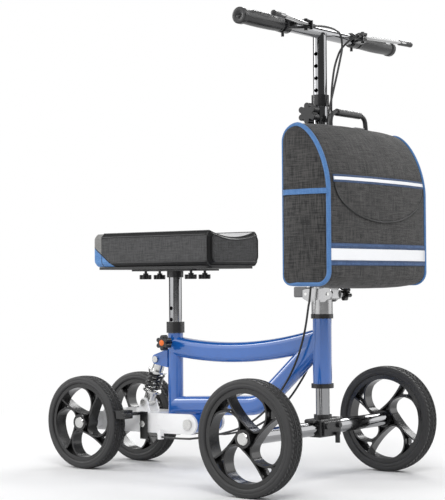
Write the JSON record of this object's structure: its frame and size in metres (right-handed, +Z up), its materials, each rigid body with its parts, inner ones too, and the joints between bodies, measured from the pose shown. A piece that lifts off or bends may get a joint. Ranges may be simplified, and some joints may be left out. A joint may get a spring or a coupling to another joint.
{
  "type": "knee scooter",
  "caption": "Steerable knee scooter with a folding stem, a sprung swingarm, an adjustable padded knee rest, hand brakes and a front bag.",
  "frame": {"origin": "centre of the bounding box on the ground plane, midway between the bag's front and the rear wheels' back", "axes": "+X forwards in the riding direction, +Y to the rider's left, +Z up"},
  "size_m": [0.818, 0.548, 0.94],
  "materials": {
    "frame_blue": "gloss paint",
    "black_chrome": "polished black plating",
    "black_paint": "satin black paint",
    "grey_cast": "satin casting",
    "swing_silver": "satin silver paint",
    "plated_steel": "zinc plated",
    "lever_alloy": "satin painted alloy",
    "wheel_plastic": "moulded black",
    "tyre_rubber": "moulded rubber",
    "knob_plastic": "moulded black",
    "grip_rubber": "textured rubber",
    "bag_cloth": "woven polyester",
    "pad_cloth": "woven cover",
    "board_plastic": "moulded board",
    "cable_black": "cable sheath",
    "webbing": "woven webbing"
  },
  "bodies": {
    "frame": {"main_frame": "frame_blue", "headset_upper_cup": "black_paint", "headset_lower_cup": "black_paint", "headset_bearings": "plated_steel", "seat_collar": "black_paint", "frame_pivot_bolts": "plated_steel", "brake_cables_frame": "cable_black"},
    "steering": {"steering_column": "black_chrome", "fold_base": "grey_cast", "fold_pins": "plated_steel", "front_axle_tube": "black_chrome", "front_axle_saddle": "black_paint", "front_axle_stubs": "plated_steel", "brake_cables_column": "cable_black"},
    "fold_lever": {"fold_lever": "knob_plastic"},
    "fold_knob": {"fold_knob": "knob_plastic"},
    "stem": {"stem_block": "grey_cast", "stem_outer_tube": "black_chrome", "stem_collar": "black_paint", "bag_brackets": "plated_steel", "bag_body": "bag_cloth", "bag_handle": "webbing", "brake_cables_stem": "cable_black"},
    "stem_knob": {"stem_knob": "knob_plastic"},
    "handlebar": {"handlebar": "black_chrome", "grip_left": "grip_rubber", "grip_right": "grip_rubber", "lever_mount_left": "black_paint", "lever_mount_right": "black_paint", "brake_cables_bar": "cable_black"},
    "lever_left": {"brake_lever_left": "lever_alloy"},
    "lever_right": {"brake_lever_right": "lever_alloy"},
    "seat": {"seat_post": "black_chrome", "pad_plate": "black_paint", "pad_board": "board_plastic", "knee_pad": "pad_cloth", "pad_knobs": "knob_plastic"},
    "seat_knob": {"seat_knob": "knob_plastic"},
    "swingarm": {"swingarm": "swing_silver", "swingarm_bushes": "plated_steel", "rear_axle": "plated_steel", "swingarm_bolts": "plated_steel", "brake_cables_rear": "cable_black"},
    "brake_left": {"brake_arm_left": "black_paint"},
    "brake_right": {"brake_arm_right": "black_paint"},
    "shock_body": {"shock_body": "plated_steel", "shock_spring": "black_paint"},
    "shock_rod": {"shock_rod": "plated_steel"},
    "front_wheel_left": {"front_rim_left": "wheel_plastic", "front_tyre_left": "tyre_rubber", "front_bearings_left": "plated_steel"},
    "front_wheel_right": {"front_rim_right": "wheel_plastic", "front_tyre_right": "tyre_rubber", "front_bearings_right": "plated_steel"},
    "rear_wheel_left": {"rear_rim_left": "wheel_plastic", "rear_tyre_left": "tyre_rubber", "rear_bearings_left": "plated_steel"},
    "rear_wheel_right": {"rear_rim_right": "wheel_plastic", "rear_tyre_right": "tyre_rubber", "rear_bearings_right": "plated_steel"}
  },
  "joints": [
    {"name": "steering", "type": "hinge", "parent": "frame", "child": "steering", "pos_m": [0.269, 0, 0.27], "axis": [0, 0, 1], "range_deg": [-35, 35]},
    {"name": "stem_fold", "type": "hinge", "parent": "steering", "child": "stem", "pos_m": [0.296, 0, 0.387], "axis": [0, 1, 0], "range_deg": [0, 90]},
    {"name": "fold_lever", "type": "hinge", "parent": "steering", "child": "fold_lever", "pos_m": [0.242, 0, 0.387], "axis": [0, -1, 0], "range_deg": [0, 60]},
    {"name": "fold_knob", "type": "hinge", "parent": "steering", "child": "fold_knob", "pos_m": [0.296, 0.045, 0.387], "axis": [0, 1, 0], "continuous": true},
    {"name": "stem_knob", "type": "hinge", "parent": "stem", "child": "stem_knob", "pos_m": [0.269, -0.04, 0.754], "axis": [0, 1, 0], "continuous": true},
    {"name": "handlebar_height", "type": "slide", "parent": "stem", "child": "handlebar", "axis": [0, 0, 1], "range_m": [-0.1, 0.05]},
    {"name": "lever_left", "type": "hinge", "parent": "handlebar", "child": "lever_left", "pos_m": [0.307, 0.104, 0.923], "axis": [0, 0, 1], "range_deg": [0, 15], "stiffness_Nm_per_rad": 1.5, "springref_deg": -5.73},
    {"name": "lever_right", "type": "hinge", "parent": "handlebar", "child": "lever_right", "pos_m": [0.307, -0.104, 0.923], "axis": [0, 0, -1], "range_deg": [0, 15], "stiffness_Nm_per_rad": 1.5, "springref_deg": -5.73},
    {"name": "seat_knob", "type": "hinge", "parent": "frame", "child": "seat_knob", "pos_m": [-0.122, -0.04, 0.281], "axis": [0, 1, 0], "continuous": true},
    {"name": "seat_height", "type": "slide", "parent": "frame", "child": "seat", "axis": [0, 0, 1], "range_m": [-0.08, 0.025]},
    {"name": "suspension", "type": "hinge", "parent": "frame", "child": "swingarm", "pos_m": [-0.047, 0, 0.107], "axis": [0, 1, 0], "range_deg": [0, 5.5], "stiffness_Nm_per_rad": 150, "springref_deg": -8.59},
    {"name": "shock_tilt", "type": "hinge", "parent": "frame", "child": "shock_body", "pos_m": [-0.165, 0, 0.243], "axis": [0, 1, 0], "range_deg": [0, 0.8]},
    {"name": "shock_slide", "type": "slide", "parent": "shock_body", "child": "shock_rod", "axis": [0.3479, 0, 0.9375], "range_m": [0, 0.016], "deforming": ["shock_spring"]},
    {"name": "brake_left", "type": "hinge", "parent": "swingarm", "child": "brake_left", "pos_m": [-0.167, 0.0565, 0.103], "axis": [0, -1, 0], "range_deg": [0, 2.6]},
    {"name": "brake_right", "type": "hinge", "parent": "swingarm", "child": "brake_right", "pos_m": [-0.167, -0.0565, 0.103], "axis": [0, -1, 0], "range_deg": [0, 2.6]},
    {"name": "front_wheel_left", "type": "hinge", "parent": "steering", "child": "front_wheel_left", "pos_m": [0.269, 0.25, 0.114], "axis": [0, 1, 0], "continuous": true},
    {"name": "front_wheel_right", "type": "hinge", "parent": "steering", "child": "front_wheel_right", "pos_m": [0.269, -0.25, 0.114], "axis": [0, 1, 0], "continuous": true},
    {"name": "rear_wheel_left", "type": "hinge", "parent": "swingarm", "child": "rear_wheel_left", "pos_m": [-0.306, 0.093, 0.103], "axis": [0, 1, 0], "continuous": true},
    {"name": "rear_wheel_right", "type": "hinge", "parent": "swingarm", "child": "rear_wheel_right", "pos_m": [-0.306, -0.093, 0.103], "axis": [0, 1, 0], "continuous": true}
  ],
  "couplings": [
    {"joint": "shock_tilt", "follows": "suspension", "ratio": 0.1127},
    {"joint": "shock_slide", "follows": "suspension", "m_per_rad": 0.1594},
    {"joint": "brake_left", "follows": "lever_left", "ratio": 0.1667},
    {"joint": "brake_right", "follows": "lever_right", "ratio": 0.1667}
  ]
}
